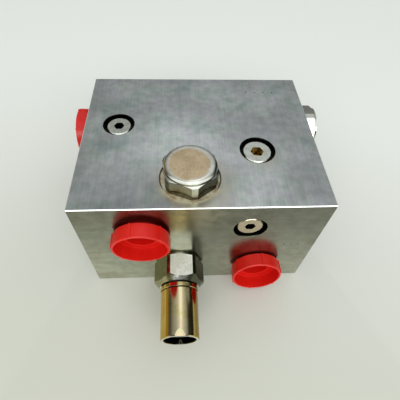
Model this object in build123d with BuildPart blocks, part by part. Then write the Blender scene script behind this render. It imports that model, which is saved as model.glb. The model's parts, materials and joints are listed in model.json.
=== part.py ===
from build123d import *
from math import atan2, cos, degrees
import os

# Steel hydraulic valve block with a relief cartridge, a check valve, a spool valve,
# three hollow-hex construction plugs and three thread-protector plugs in its ports.
# Millimetres. Origin: centre of the block's bottom face. +Z up, -Y is the cartridge side.

# ---------------------------------------------------------------- driving dimensions
block_width = 127.0
block_depth = 101.6
block_height = 76.2
edge_break = 0.35

# stations on the block's faces: front and back give (x, z), top and bottom (x, y),
# left and right (y, z)
supply_port_at = (-31.2, 54.9)
tank_port_at = (33.1, 17.3)
service_port_at = (25.2, 54.8)
relief_at = (-12.65, 21.5)
check_at = (-6.2, -31.8)
spool_at = (24.3, 58.5)
gauge_plug_at = (-44.9, 7.6)
tank_plug_at = (30.3, -13.2)
front_plug_at = (24.3, 57.6)

# 7/8-14 straight-thread O-ring port, used by the three ports and the three big bores
thread_wall = 10.15
thread_stem = 10.1
gland_radius = 12.0
gland_depth = 2.2
port_depth = 21.0
port_passage = 6.0

# hexagonal bore plugs over the check valve and the spool
spotface_radius = 15.2
spotface_depth = 0.5
cap_flats = 25.6
cap_bar = 28.0
cap_hex_top = 8.5
cap_boss_radius = 12.75
cap_disc_radius = 10.5
cap_boss_top = 10.5

# relief cartridge
relief_flats = 25.4
relief_bar = 28.2
relief_gland = 11.3
relief_hex_start = 0.8
relief_hex_end = 15.8
relief_neck_end = 23.0
guard_radius = 10.15
guard_inner = 8.35
guard_end = 44.2
adjuster_radius = 3.97
adjuster_end = 36.0

# galleries
small_drill = 3.5
large_drill = 4.5
ball_over_drill = 0.5
ball_sink = 0.6

# base: four tapped holes, 3/8-16, on 4 in by 3 in
mount_spacing_x = 101.6
mount_spacing_y = 76.2
mount_hole_radius = 3.97
mount_hole_depth = 16.0

# fits
running_gap = 0.05
thread_gap = 0.1
drill_point = 0.6
breakout = 1.0

os.makedirs("parts", exist_ok=True)


# ---------------------------------------------------------------- shared helpers
def on_face(side, first, second):
    """A plane on one face of the block, its local z pointing out of the block."""
    half_width = block_width / 2
    half_depth = block_depth / 2
    places = {
        "top": ((first, second, block_height), (1, 0, 0), (0, 0, 1)),
        "bottom": ((first, second, 0), (1, 0, 0), (0, 0, -1)),
        "front": ((first, -half_depth, second), (1, 0, 0), (0, -1, 0)),
        "back": ((first, half_depth, second), (-1, 0, 0), (0, 1, 0)),
        "left": ((-half_width, first, second), (0, -1, 0), (-1, 0, 0)),
        "right": ((half_width, first, second), (0, 1, 0), (1, 0, 0)),
    }
    origin, x_direction, outward = places[side]
    return Plane(origin=origin, x_dir=x_direction, z_dir=outward)


def axial_plane(face):
    """The plane through a station's axis whose local y runs along the axis."""
    return Plane(origin=face.origin, x_dir=face.x_dir, z_dir=-face.y_dir)


def turn(face, *outline, mode=Mode.ADD):
    """Revolve a closed (radius, height) outline about a station's axis."""
    with BuildSketch(axial_plane(face)) as profile:
        with BuildLine():
            Polyline(*outline, close=True)
        make_face()
    revolve(profile.sketch, axis=Axis(face.origin, face.z_dir), mode=mode)


def stepped_bore(face, *steps):
    """Drill a station in steps of (radius, depth), ending in a drill point."""
    outline = [(0, breakout)]
    level = breakout
    for radius, depth in steps:
        outline += [(radius, level), (radius, -depth)]
        level = -depth
    outline.append((0, level - steps[-1][0] * drill_point))
    turn(face, *outline, mode=Mode.SUBTRACT)


def hexagon_socket(face, flats, top, depth):
    """Cut a hexagon key socket with a drilled point, its mouth at height top."""
    with BuildSketch(face.offset(top)) as key:
        RegularPolygon(flats / 2, 6, major_radius=False)
    extrude(key.sketch, amount=-depth, mode=Mode.SUBTRACT)
    inset = 0.1
    drill = flats / 2 - inset
    floor = top - depth
    turn(
        face,
        (0, floor + inset),
        (drill, floor + inset),
        (drill, floor),
        (0, floor - drill * drill_point),
        mode=Mode.SUBTRACT,
    )


def finish(piece, name):
    """Label a finished piece and write it as one STEP file."""
    piece.part.label = name
    export_step(piece.part, f"parts/{name}.step")


supply_port = on_face("front", *supply_port_at)
tank_port = on_face("front", *tank_port_at)
service_port = on_face("left", *service_port_at)
relief_face = on_face("front", *relief_at)
check_face = on_face("top", *check_at)
spool_face = on_face("right", *spool_at)
gauge_plug_face = on_face("top", *gauge_plug_at)
tank_plug_face = on_face("top", *tank_plug_at)
front_plug_face = on_face("front", *front_plug_at)

# ---------------------------------------------------------------- galleries
# Each is (face, (first, second), drill radius, depth), and is closed by a steel ball.
supply_level = 54.9
cross_level = 38.0
cross_y = gauge_plug_at[1]
check_x = check_at[0]
riser_x = -10.0
tank_cross_at = (-25.0, 19.5)
galleries = [
    # supply port to the gauge plug's drilling
    ("left", (cross_y, supply_level), small_drill, 36.0),
    # gauge plug's drilling to the check valve's inlet
    ("left", (cross_y, cross_level), small_drill, 60.5),
    # check valve's inlet
    ("back", (check_x, cross_level), large_drill, 86.0),
    # check valve's outlet, across the service gallery
    ("back", (check_x, service_port_at[1]), large_drill, 78.0),
    # riser to the relief cartridge's nose
    ("bottom", (riser_x, cross_y), small_drill, cross_level),
    # relief cartridge's outlet to the tank passage
    ("right", tank_cross_at, large_drill, 68.5),
]

# ---------------------------------------------------------------- cavity dimensions
# Heights are measured along each station's axis from the block's face, outward.
check_thread_depth = 30.0
check_inlet_radius = 4.0
check_inlet_depth = 42.0
check_stem_end = -16.2
check_bore_radius = 7.05
check_bore_top = -4.0
check_seat_top = -26.0
check_poppet_top = -10.2
check_pocket_floor = -21.0

spool_shoulder = -19.5
spool_wall = 6.4
spool_radius = spool_wall - running_gap
spool_bore_depth = 63.5
spool_left_end = -61.0
spool_stem_end = -10.7
spool_spring_bore = 8.2
spool_spring_end = 0.5
spool_flange = (-19.35, -16.85)

relief_thread_depth = 17.0
relief_chamber_radius = 9.6
relief_chamber_depth = 32.0
relief_nose_wall = 8.0
relief_nose_depth = 46.0
relief_inlet_radius = 5.0
relief_inlet_depth = 62.0
relief_bore = 6.0
relief_bore_top = 5.0
relief_body_end = -24.0
relief_seat_height = -22.6
relief_orifice = 3.0
relief_spring_foot = -14.5
relief_seat_face = -3.0
relief_seat_back = 1.8

# hollow-hex plugs: head radius, counterbore radius, gland radius, thread wall radius,
# neck radius, key size across flats
small_plug = {
    "head": 6.8,
    "counterbore": 8.75,
    "gland": 6.4,
    "wall": 4.95,
    "neck": 4.3,
    "flats": 5.1,
}
large_plug = {
    "head": 7.8,
    "counterbore": 9.65,
    "gland": 7.4,
    "wall": 6.45,
    "neck": 5.35,
    "flats": 6.35,
}
plug_sink = 1.2
plug_head_height = 4.0
plug_gland_depth = 2.0
plug_thread_depth = 12.0
plug_stem_length = 11.0
plug_socket_depth = 6.0


# ---------------------------------------------------------------- block
def plug_seat(face, plug, drill, depth):
    """Counterbore, O-ring gland, thread and drilling under a hollow-hex plug."""
    floor = plug_sink + plug_head_height
    stepped_bore(
        face,
        (plug["counterbore"], floor),
        (plug["gland"], floor + plug_gland_depth),
        (plug["wall"], floor + plug_thread_depth),
        (drill, depth),
    )


with BuildPart() as manifold_block:
    with BuildSketch():
        Rectangle(block_width, block_depth)
    extrude(amount=block_height)
    chamfer(manifold_block.edges(), edge_break)

    for port, passage_depth in ((supply_port, 62.8), (tank_port, 42.8), (service_port, 65.5)):
        stepped_bore(
            port,
            (gland_radius, gland_depth),
            (thread_wall, port_depth),
            (port_passage, passage_depth),
        )
    stepped_bore(
        check_face,
        (spotface_radius, spotface_depth),
        (gland_radius, spotface_depth + gland_depth),
        (thread_wall, check_thread_depth),
        (check_inlet_radius, check_inlet_depth),
    )
    stepped_bore(
        spool_face,
        (spotface_radius, spotface_depth),
        (gland_radius, spotface_depth + gland_depth),
        (thread_wall, -spool_shoulder),
        (spool_wall, spool_bore_depth),
    )
    stepped_bore(
        relief_face,
        (relief_gland, gland_depth),
        (thread_wall, relief_thread_depth),
        (relief_chamber_radius, relief_chamber_depth),
        (relief_nose_wall, relief_nose_depth),
        (relief_inlet_radius, relief_inlet_depth),
    )
    plug_seat(gauge_plug_face, small_plug, small_drill, 42.0)
    plug_seat(tank_plug_face, large_plug, large_drill, 62.0)
    plug_seat(front_plug_face, small_plug, small_drill, 73.0)
    for side, place, drill, depth in galleries:
        ball = drill + ball_over_drill
        stepped_bore(on_face(side, *place), (ball, 2 * ball + ball_sink), (drill, depth))

    # tapped holes in the base
    with BuildSketch(Plane.XY):
        with GridLocations(mount_spacing_x, mount_spacing_y, 2, 2):
            Circle(mount_hole_radius)
    extrude(amount=mount_hole_depth, mode=Mode.SUBTRACT)

    # rows of punch dots: three by the tank port, four at the top face's back corner
    punch_radius = 0.9
    punch_depth = 0.6
    with Locations(on_face("front", 50.0, 40.0).location):
        with GridLocations(4.0, 4.0, 3, 1):
            Cone(0.05, punch_radius, 2 * punch_depth, mode=Mode.SUBTRACT)
    with Locations(on_face("top", 38.7, 37.0).location):
        with GridLocations(5.5, 5.5, 4, 1):
            Cone(0.05, punch_radius, 2 * punch_depth, mode=Mode.SUBTRACT)

finish(manifold_block, "manifold_block")

with BuildPart() as gallery_seal_balls:
    for side, place, drill, depth in galleries:
        ball = drill + ball_over_drill
        with Locations(on_face(side, *place).offset(-ball - ball_sink).location):
            Sphere(ball - 0.02)

finish(gallery_seal_balls, "gallery_seal_balls")


# ---------------------------------------------------------------- hollow-hex plugs
def hollow_hex_plug(face, plug):
    """Straight-thread plug whose head sits below the surface in its counterbore."""
    head_top = -plug_sink
    head_floor = head_top - plug_head_height
    neck_floor = head_floor - plug_gland_depth
    stem = plug["wall"] - running_gap
    stem_floor = head_floor - plug_stem_length
    edge = 0.5
    with BuildPart() as piece:
        turn(
            face,
            (0, head_top),
            (plug["head"] - edge, head_top),
            (plug["head"], head_top - edge),
            (plug["head"], head_floor),
            (plug["neck"], head_floor),
            (plug["neck"], neck_floor),
            (stem, neck_floor),
            (stem, stem_floor + edge),
            (stem - edge, stem_floor),
            (0, stem_floor),
        )
        hexagon_socket(face, plug["flats"], head_top, plug_socket_depth)
    return piece


def plug_o_ring(face, plug):
    """O-ring lying in the gland under a hollow-hex plug's head."""
    section = (plug["gland"] - plug["neck"]) / 2 - 0.05
    middle = (plug["gland"] + plug["neck"]) / 2
    height = -plug_sink - plug_head_height - plug_gland_depth / 2
    with BuildPart() as piece:
        with Locations(face.offset(height).location):
            Torus(middle, min(section, plug_gland_depth / 2 - 0.02))
    return piece


for plug_face, plug_size, plug_name in (
    (gauge_plug_face, small_plug, "gauge_port_plug"),
    (tank_plug_face, large_plug, "tank_gallery_plug"),
    (front_plug_face, small_plug, "front_gallery_plug"),
):
    finish(hollow_hex_plug(plug_face, plug_size), plug_name)
    finish(plug_o_ring(plug_face, plug_size), plug_name + "_seal")


# ---------------------------------------------------------------- hexagonal bore caps
def bore_cap(face, turn_angle, stem_end, inner_radius, inner_end):
    """Hexagonal cap milled from round bar, with a raised boss and a hollow stem."""
    bar = cap_bar / 2
    floor = -spotface_depth
    chamfer_radius = cap_boss_radius + 0.15
    chamfer_drop = 0.6
    neck = gland_radius - 2.2
    undercut_depth = 0.5
    undercut_top = cap_hex_top + 0.45
    boss_shoulder = cap_boss_top - 0.9
    stem_edge = 0.6
    with BuildPart() as piece:
        turn(
            face,
            (0, floor),
            (bar, floor),
            (bar, cap_hex_top - chamfer_drop),
            (chamfer_radius, cap_hex_top),
            (0, cap_hex_top),
        )
        with BuildSketch(face.offset(floor)):
            RegularPolygon(cap_flats / 2, 6, major_radius=False, rotation=turn_angle)
        extrude(amount=cap_hex_top - floor, mode=Mode.INTERSECT)
        # raised boss over a thin undercut, its edge rounded down from a flat disc
        with BuildSketch(axial_plane(face)) as boss:
            with BuildLine():
                TangentArc(
                    (cap_disc_radius, cap_boss_top),
                    (cap_boss_radius, boss_shoulder),
                    tangent=(1, 0),
                )
                Polyline(
                    (cap_boss_radius, boss_shoulder),
                    (cap_boss_radius, undercut_top),
                    (cap_boss_radius - undercut_depth, undercut_top),
                    (cap_boss_radius - undercut_depth, cap_hex_top),
                    (0, cap_hex_top),
                    (0, cap_boss_top),
                    (cap_disc_radius, cap_boss_top),
                )
            make_face()
        revolve(boss.sketch, axis=Axis(face.origin, face.z_dir))
        # threaded stem with the O-ring neck under the hexagon
        turn(
            face,
            (0, floor),
            (neck, floor),
            (neck, floor - gland_depth),
            (thread_stem, floor - gland_depth),
            (thread_stem, stem_end + stem_edge),
            (thread_stem - stem_edge, stem_end),
            (0, stem_end),
        )
        turn(
            face,
            (0, stem_end - breakout),
            (inner_radius, stem_end - breakout),
            (inner_radius, inner_end),
            (0, inner_end),
            mode=Mode.SUBTRACT,
        )
    return piece


def gland_o_ring(face, radius, height):
    """O-ring in a gland of the given wall radius, centred at the given height."""
    section = 1.05
    with BuildPart() as piece:
        with Locations(face.offset(height).location):
            Torus(radius - section - 0.1, section)
    return piece


def coil_spring(face, foot, head, mean_radius, wire, coils):
    """Compression spring between two heights, its ends ground flat."""
    length = head - foot
    reach = length + wire
    start = face.offset(foot - wire / 2)
    with BuildPart() as piece:
        with BuildLine() as path:
            Helix(reach / coils, reach, mean_radius, center=start.origin, direction=face.z_dir)
        with BuildSketch(Plane(origin=path.line @ 0, z_dir=path.line % 0)):
            Circle(wire / 2)
        sweep(path=path.line, is_frenet=True)
        split(bisect_by=face.offset(foot), keep=Keep.TOP)
        split(bisect_by=face.offset(head), keep=Keep.BOTTOM)
    return piece


cap_seal_height = -spotface_depth - gland_depth / 2

# ---------------------------------------------------------------- check valve
check_cap_turn = 37.2
finish(
    bore_cap(check_face, check_cap_turn, check_stem_end, check_bore_radius, check_bore_top),
    "check_cap",
)
finish(gland_o_ring(check_face, gland_radius, cap_seal_height), "check_cap_seal")

with BuildPart() as check_seat:
    seat_hole = 5.0
    turn(
        check_face,
        (seat_hole, check_seat_top),
        (thread_stem, check_seat_top),
        (thread_stem, -check_thread_depth),
        (seat_hole, -check_thread_depth),
    )

finish(check_seat, "check_seat")

with BuildPart() as check_poppet:
    poppet_radius = check_bore_radius - running_gap
    nose_flat = 2.6
    nose_height = -28.3
    pocket_radius = 5.2
    bleed_radius = 1.0
    bleed_height = check_pocket_floor + 2.0
    turn(
        check_face,
        (0, nose_height),
        (nose_flat, nose_height),
        (poppet_radius, nose_height + poppet_radius - nose_flat),
        (poppet_radius, check_poppet_top),
        (pocket_radius, check_poppet_top),
        (pocket_radius, check_pocket_floor),
        (0, check_pocket_floor),
    )
    # four bleed holes through the pocket's wall
    with Locations(check_face.offset(bleed_height).location):
        for tilt in ((90, 0, 0), (0, 90, 0)):
            Cylinder(bleed_radius, 3 * poppet_radius, rotation=tilt, mode=Mode.SUBTRACT)

finish(check_poppet, "check_poppet")
finish(coil_spring(check_face, check_pocket_floor, check_bore_top, 4.3, 0.9, 6.5), "check_spring")

# ---------------------------------------------------------------- spool valve
spool_cap_turn = 48.3
finish(
    bore_cap(spool_face, spool_cap_turn, spool_stem_end, spool_spring_bore, spool_spring_end),
    "spool_cap",
)
finish(gland_o_ring(spool_face, gland_radius, cap_seal_height), "spool_cap_seal")

with BuildPart() as spool:
    sensing_radius = 2.5
    sensing_end = -48.5
    groove = (-51.5, -47.5)
    groove_radius = 5.0
    land_end = -29.5
    stem_radius = 4.0
    flange_radius = 9.0
    nub_radius = 5.2
    nub_end = -13.5
    metering_hole = 1.1
    turn(
        spool_face,
        (sensing_radius, spool_left_end),
        (spool_radius, spool_left_end),
        (spool_radius, groove[0]),
        (groove_radius, groove[0]),
        (groove_radius, groove[1]),
        (spool_radius, groove[1]),
        (spool_radius, land_end),
        (stem_radius, land_end),
        (stem_radius, spool_flange[0]),
        (flange_radius, spool_flange[0]),
        (flange_radius, spool_flange[1]),
        (nub_radius, spool_flange[1]),
        (nub_radius, nub_end),
        (0, nub_end),
        (0, sensing_end),
        (sensing_radius, sensing_end),
    )
    # cross holes from the sensing bore into the metering groove
    with Locations(spool_face.offset(sum(groove) / 2).location):
        for tilt in ((90, 0, 0), (0, 90, 0)):
            Cylinder(metering_hole, 2 * spool_radius, rotation=tilt, mode=Mode.SUBTRACT)
    # balance grooves round the land
    balance_width = 0.8
    balance_depth = 0.4
    for balance_at in (-43.5, -38.5, -33.5):
        turn(
            spool_face,
            (spool_radius - balance_depth, balance_at),
            (spool_radius + breakout, balance_at),
            (spool_radius + breakout, balance_at + balance_width),
            (spool_radius - balance_depth, balance_at + balance_width),
            mode=Mode.SUBTRACT,
        )

finish(spool, "spool")

with BuildPart() as damping_orifice:
    orifice_foot = -59.0
    orifice_head = -54.0
    orifice_radius = 0.5
    orifice_wall = sensing_radius - 0.03
    key_half_flats = 1.0
    key_depth = 2.0
    turn(
        spool_face,
        (orifice_radius, orifice_foot),
        (orifice_wall, orifice_foot),
        (orifice_wall, orifice_head),
        (orifice_radius, orifice_head),
    )
    with BuildSketch(spool_face.offset(orifice_foot)):
        RegularPolygon(key_half_flats, 6, major_radius=False)
    extrude(amount=key_depth, mode=Mode.SUBTRACT)

finish(damping_orifice, "damping_orifice")
finish(coil_spring(spool_face, spool_flange[1], spool_spring_end, 6.6, 1.6, 5.0), "spool_spring")

# ---------------------------------------------------------------- relief cartridge
relief_turn = -6.5
neck_radius = guard_inner - running_gap
stud_wall = adjuster_radius + 0.08

with BuildPart() as relief_body:
    relief_bar_radius = relief_bar / 2
    inner_chamfer_radius = 11.9
    inner_chamfer_length = 1.0
    outer_chamfer_radius = 10.9
    outer_chamfer_length = 3.0
    turn(
        relief_face,
        (0, relief_hex_start),
        (inner_chamfer_radius, relief_hex_start),
        (relief_bar_radius, relief_hex_start + inner_chamfer_length),
        (relief_bar_radius, relief_hex_end - outer_chamfer_length),
        (outer_chamfer_radius, relief_hex_end),
        (0, relief_hex_end),
    )
    with BuildSketch(relief_face.offset(relief_hex_start)):
        RegularPolygon(relief_flats / 2, 6, major_radius=False, rotation=relief_turn)
    extrude(amount=relief_hex_end - relief_hex_start, mode=Mode.INTERSECT)
    washer_radius = 11.6
    seal_neck = relief_gland - 2.25
    cage_radius = 8.0
    cage_top = 0.5 - relief_thread_depth
    neck_edge = 0.5
    turn(
        relief_face,
        (0, relief_neck_end),
        (neck_radius - neck_edge, relief_neck_end),
        (neck_radius, relief_neck_end - neck_edge),
        (neck_radius, relief_hex_start),
        (washer_radius, relief_hex_start),
        (washer_radius, 0),
        (seal_neck, 0),
        (seal_neck, -gland_depth),
        (thread_stem, -gland_depth),
        (thread_stem, cage_top),
        (cage_radius, cage_top),
        (cage_radius, relief_body_end),
        (0, relief_body_end),
    )
    turn(
        relief_face,
        (0, relief_neck_end + breakout),
        (stud_wall, relief_neck_end + breakout),
        (stud_wall, relief_bore_top),
        (relief_bore, relief_bore_top),
        (relief_bore, relief_body_end - breakout),
        (0, relief_body_end - breakout),
        mode=Mode.SUBTRACT,
    )
    # outlet windows into the tank chamber
    window_radius = 1.7
    window_height = -20.6
    with Locations(relief_face.offset(window_height).location):
        for tilt in ((90, 0, 0), (0, 90, 0)):
            Cylinder(window_radius, 2 * cage_radius + breakout, rotation=tilt, mode=Mode.SUBTRACT)

finish(relief_body, "relief_body")
finish(gland_o_ring(relief_face, relief_gland, -gland_depth / 2), "relief_body_seal")

nose_radius = relief_nose_wall - 0.1
nose_end = -45.5
nose_edge = 1.0
nose_groove_radius = 6.4
nose_groove = (-39.5, -36.1)

with BuildPart() as relief_nose:
    spigot_radius = relief_bore - 0.02
    turn(
        relief_face,
        (relief_orifice, relief_seat_height),
        (spigot_radius, relief_seat_height),
        (spigot_radius, relief_body_end),
        (nose_radius, relief_body_end),
        (nose_radius, nose_groove[1]),
        (nose_groove_radius, nose_groove[1]),
        (nose_groove_radius, nose_groove[0]),
        (nose_radius, nose_groove[0]),
        (nose_radius, nose_end + nose_edge),
        (nose_radius - nose_edge, nose_end),
        (relief_orifice, nose_end),
    )

finish(relief_nose, "relief_nose")

nose_ring_section = 0.7
nose_ring_middle = nose_groove_radius + nose_ring_section + 0.05
nose_groove_middle = sum(nose_groove) / 2

with BuildPart() as relief_nose_seal:
    with Locations(relief_face.offset(nose_groove_middle).location):
        Torus(nose_ring_middle, nose_ring_section)

finish(relief_nose_seal, "relief_nose_seal")

with BuildPart() as relief_backup_rings:
    backup_thickness = 0.6
    for backup_at in (nose_groove[0] + 0.1, nose_groove[1] - 0.1 - backup_thickness):
        turn(
            relief_face,
            (nose_ring_middle - nose_ring_section, backup_at),
            (nose_ring_middle + nose_ring_section, backup_at),
            (nose_ring_middle + nose_ring_section, backup_at + backup_thickness),
            (nose_ring_middle - nose_ring_section, backup_at + backup_thickness),
        )

finish(relief_backup_rings, "relief_backup_rings")

with BuildPart() as relief_poppet:
    guide_radius = relief_bore - running_gap
    tip_radius = 0.9
    tip_height = -24.6
    cone_radius = 4.6
    guide_foot = -19.0
    spigot = (3.2, -11.0)
    turn(
        relief_face,
        (0, tip_height),
        (tip_radius, tip_height),
        (cone_radius, tip_height + cone_radius - tip_radius),
        (cone_radius, guide_foot),
        (guide_radius, guide_foot),
        (guide_radius, relief_spring_foot),
        (spigot[0], relief_spring_foot),
        (spigot[0], spigot[1]),
        (0, spigot[1]),
    )
    # three drain flutes along the guide
    with Locations(relief_face.offset(guide_foot).location):
        with PolarLocations(guide_radius + 0.2, 3):
            Cylinder(0.9, 12.0, mode=Mode.SUBTRACT)

finish(relief_poppet, "relief_poppet")
finish(
    coil_spring(relief_face, relief_spring_foot, relief_seat_face, 4.3, 1.3, 4.5),
    "relief_spring",
)

adjuster_ring_section = 0.64
adjuster_groove_radius = 4.6
adjuster_ring_height = -0.6

with BuildPart() as relief_spring_seat:
    groove_half = 1.0
    pilot = (3.2, -5.0)
    turn(
        relief_face,
        (0, pilot[1]),
        (pilot[0], pilot[1]),
        (pilot[0], relief_seat_face),
        (guide_radius, relief_seat_face),
        (guide_radius, adjuster_ring_height - groove_half),
        (adjuster_groove_radius, adjuster_ring_height - groove_half),
        (adjuster_groove_radius, adjuster_ring_height + groove_half),
        (guide_radius, adjuster_ring_height + groove_half),
        (guide_radius, relief_seat_back),
        (0, relief_seat_back),
    )

finish(relief_spring_seat, "relief_spring_seat")

with BuildPart() as adjuster_seal:
    with Locations(relief_face.offset(adjuster_ring_height).location):
        Torus(adjuster_groove_radius + adjuster_ring_section + 0.02, adjuster_ring_section)

finish(adjuster_seal, "adjuster_seal")

with BuildPart() as adjusting_screw:
    screw_foot = relief_seat_back + 0.1
    screw_edge = 0.6
    screw_point = 1.0
    turn(
        relief_face,
        (0, screw_foot),
        (adjuster_radius - screw_point, screw_foot),
        (adjuster_radius, screw_foot + screw_point),
        (adjuster_radius, adjuster_end - screw_edge),
        (adjuster_radius - screw_edge, adjuster_end),
        (0, adjuster_end),
    )
    hexagon_socket(relief_face, 4.0, adjuster_end, 5.0)

finish(adjusting_screw, "adjusting_screw")

with BuildPart() as lock_nut:
    nut_flats = 13.0
    nut_corner = 7.45
    nut_foot = relief_neck_end + 0.1
    nut_top = nut_foot + 4.5
    nut_chamfer = 0.5
    nut_face_radius = nut_corner - 1.0
    turn(
        relief_face,
        (stud_wall, nut_foot),
        (nut_face_radius, nut_foot),
        (nut_corner, nut_foot + nut_chamfer),
        (nut_corner, nut_top - nut_chamfer),
        (nut_face_radius, nut_top),
        (stud_wall, nut_top),
    )
    with BuildSketch(relief_face.offset(nut_foot)):
        RegularPolygon(nut_flats / 2, 6, major_radius=False, rotation=10)
    extrude(amount=nut_top - nut_foot, mode=Mode.INTERSECT)

finish(lock_nut, "lock_nut")

# two dents crimped into the guard's rim, above and below, left by a round bar laid
# aslant; the wall bulges into the bore behind each dent
dent_radius = 6.0
dent_depth = 1.2
dent_length = 3.4
dent_shift = 0.35
dent_reach = 14.0
dent_tilt = atan2(dent_depth, dent_length)
dent_axis = guard_radius - dent_depth + dent_radius / cos(dent_tilt)
guard_wall = guard_radius - guard_inner
dent_places = [
    relief_face.offset(guard_end).location
    * Location((dent_shift, side * dent_axis, 0), (side * degrees(dent_tilt), 0, 0))
    for side in (1, -1)
]

with BuildPart() as dent_bulges:
    with Locations(*dent_places):
        Cylinder(dent_radius + guard_wall, dent_reach)
    with Locations(relief_face.offset(guard_end - dent_reach / 2).location):
        Cylinder(guard_radius - dent_depth, dent_reach, mode=Mode.INTERSECT)

with BuildPart() as adjuster_guard:
    guard_foot = relief_hex_end + 0.05
    groove_radius = 9.3
    collar_radius = 10.4
    collar = (guard_foot + 0.55, 18.8)
    collar_edge = 0.25
    neck_groove_radius = 9.7
    neck_groove_top = 19.2
    neck_groove_slope = 0.2
    rim_edge = 0.35
    turn(
        relief_face,
        (guard_inner, guard_foot),
        (groove_radius, guard_foot),
        (groove_radius, collar[0]),
        (collar_radius - collar_edge, collar[0]),
        (collar_radius, collar[0] + collar_edge),
        (collar_radius, collar[1] - collar_edge),
        (collar_radius - collar_edge, collar[1]),
        (neck_groove_radius, collar[1]),
        (neck_groove_radius, neck_groove_top),
        (guard_radius, neck_groove_top + neck_groove_slope),
        (guard_radius, guard_end - rim_edge),
        (guard_radius - rim_edge, guard_end),
        (guard_inner + rim_edge, guard_end),
        (guard_inner, guard_end - rim_edge),
    )
    add(dent_bulges.part)
    with Locations(*dent_places):
        Cylinder(dent_radius, dent_reach, mode=Mode.SUBTRACT)

finish(adjuster_guard, "adjuster_guard")

# ---------------------------------------------------------------- thread-protector plugs
# The cup's heights are measured from its own back.
cup_length = 7.8
plug_rim_radius = 14.4
plug_back_radius = 14.15
plug_wall = 1.15


def port_plug(face, rib_angle, lean, cup_back):
    """Hollow moulded plug: a ribbed cup outside, a hollow threaded stem in the port.

    The soft cup leans on its stem, by an angle towards the face's local y.
    """
    cup = Plane(face.location * Location((0, 0, cup_back), (-lean, 0, 0)))
    stem = thread_wall - thread_gap
    stem_foot = -10.0
    stem_edge = 0.8
    stem_top = cup_back + 0.5
    stem_hollow = 8.5
    stem_draft = 0.4
    hollow_floor = -8.4
    cup_floor = 1.0
    step_radius = 10.9
    step_floor = 0.6
    edge = 0.3
    rib_width = 1.2
    rib_depth = 1.6
    rib_height = 0.35
    with BuildPart() as piece:
        # six narrow ribs standing out of the cup's side
        with BuildSketch(cup.offset(edge)):
            with PolarLocations(plug_rim_radius - rib_depth / 2 + rib_height, 6, rib_angle):
                Rectangle(rib_depth, rib_width)
        extrude(amount=cup_length - edge)
        turn(
            cup,
            (0, 0),
            (plug_back_radius - edge, 0),
            (plug_back_radius, edge),
            (plug_rim_radius, cup_length - edge),
            (plug_rim_radius - edge, cup_length),
            (0, cup_length),
        )
        turn(
            cup,
            (0, step_floor),
            (step_radius, step_floor),
            (step_radius, cup_floor),
            (plug_back_radius - plug_wall, cup_floor),
            (plug_rim_radius - plug_wall, cup_length),
            (plug_rim_radius - plug_wall, cup_length + breakout),
            (0, cup_length + breakout),
            mode=Mode.SUBTRACT,
        )
        turn(
            face,
            (0, stem_foot),
            (stem - stem_edge, stem_foot),
            (stem, stem_foot + stem_edge),
            (stem, stem_top),
            (0, stem_top),
        )
        turn(
            face,
            (0, hollow_floor),
            (stem_hollow - stem_draft, hollow_floor),
            (stem_hollow, cup_length),
            (0, cup_length),
            mode=Mode.SUBTRACT,
        )
    return piece


finish(port_plug(supply_port, 46.0, -3.5, 1.4), "supply_port_plug")
finish(port_plug(tank_port, 82.0, 4.3, 1.8), "tank_port_plug")
finish(port_plug(service_port, 48.0, 0.0, 1.4), "service_port_plug")
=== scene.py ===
"""Looks of the hydraulic valve block: materials, threads, springs, stage and light.

Everything is in metres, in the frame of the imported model. Places come from the boxes
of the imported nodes.
"""
import json
import math

import bmesh
import bpy
from mathutils import Matrix, Vector

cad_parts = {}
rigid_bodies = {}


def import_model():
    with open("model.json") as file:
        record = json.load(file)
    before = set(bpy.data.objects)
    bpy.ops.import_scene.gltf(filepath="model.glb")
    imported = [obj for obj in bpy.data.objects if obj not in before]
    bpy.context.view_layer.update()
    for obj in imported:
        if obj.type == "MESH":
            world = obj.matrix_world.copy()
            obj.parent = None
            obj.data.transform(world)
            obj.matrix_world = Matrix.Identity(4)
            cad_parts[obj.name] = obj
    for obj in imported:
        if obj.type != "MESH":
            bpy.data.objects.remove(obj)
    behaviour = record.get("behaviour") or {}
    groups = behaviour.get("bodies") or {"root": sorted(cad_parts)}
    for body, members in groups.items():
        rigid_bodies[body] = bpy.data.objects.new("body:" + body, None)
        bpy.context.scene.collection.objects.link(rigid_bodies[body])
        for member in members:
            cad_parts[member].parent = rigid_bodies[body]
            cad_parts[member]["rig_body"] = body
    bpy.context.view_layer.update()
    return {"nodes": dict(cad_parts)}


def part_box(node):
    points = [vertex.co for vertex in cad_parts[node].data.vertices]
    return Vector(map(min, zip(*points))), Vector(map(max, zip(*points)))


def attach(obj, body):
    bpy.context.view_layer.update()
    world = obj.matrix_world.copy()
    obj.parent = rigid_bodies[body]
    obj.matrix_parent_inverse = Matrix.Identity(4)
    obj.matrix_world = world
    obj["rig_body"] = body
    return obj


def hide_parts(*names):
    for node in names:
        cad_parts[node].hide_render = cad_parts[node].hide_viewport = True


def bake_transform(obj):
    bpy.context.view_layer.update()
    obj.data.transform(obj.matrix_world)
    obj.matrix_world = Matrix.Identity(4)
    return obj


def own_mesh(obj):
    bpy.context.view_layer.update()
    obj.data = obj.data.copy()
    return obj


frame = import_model()
nodes = frame["nodes"]

MM = 0.001
SHADE_BLACK = (0.012, 0.012, 0.010, 1)


def middle(node):
    """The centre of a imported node's box."""
    low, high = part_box(node)
    return (low + high) / 2


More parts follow.
